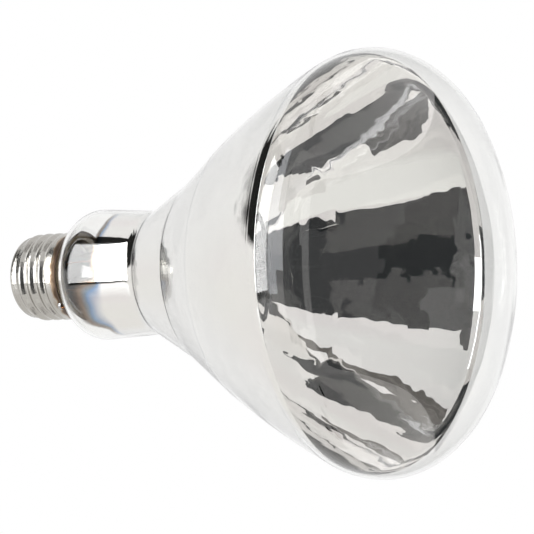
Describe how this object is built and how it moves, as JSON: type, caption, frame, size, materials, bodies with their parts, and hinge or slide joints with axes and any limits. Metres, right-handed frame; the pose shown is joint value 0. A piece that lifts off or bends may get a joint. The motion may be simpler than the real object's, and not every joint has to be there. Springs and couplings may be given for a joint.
{
  "type": "reflector heat lamp bulb with a screw base",
  "caption": "Reflector infrared heat lamp bulb, a silvered blown-glass bowl with a clear domed front and a medium screw base.",
  "frame": {"origin": "tip of the centre contact, on the lamp's axis", "axes": "+Z along the lamp's axis from the base to the dome; -Y is the side that the picture shows"},
  "size_m": [0.125, 0.125, 0.1575],
  "materials": {
    "clear_glass": "clear, blown",
    "silvering": "mirror film inside the glass",
    "copper_wire": "dull copper",
    "nickel_wire": "drawn wire",
    "molybdenum_wire": "drawn wire",
    "tungsten": "drawn wire",
    "base_shell": "bright, rolled",
    "cement": "baked cement",
    "black_glass": "black pressed glass",
    "contact_brass": "stamped",
    "solder": "cold solder"
  },
  "bodies": {
    "root": {"glass_bulb": "clear_glass", "stem_flare": "clear_glass", "exhaust_tube": "clear_glass", "stem_rod": "clear_glass", "mirror_film": "silvering", "seal_wire_left": "copper_wire", "seal_wire_right": "copper_wire", "centre_lead": "copper_wire", "side_lead": "copper_wire", "inner_lead_left": "nickel_wire", "inner_lead_right": "nickel_wire", "support_wire_front": "molybdenum_wire", "support_wire_middle": "molybdenum_wire", "support_wire_back": "molybdenum_wire", "filament": "tungsten", "screw_shell": "base_shell", "base_cement": "cement", "base_insulator": "black_glass", "centre_contact": "contact_brass", "centre_solder": "solder", "side_solder": "solder"}
  },
  "joints": []
}
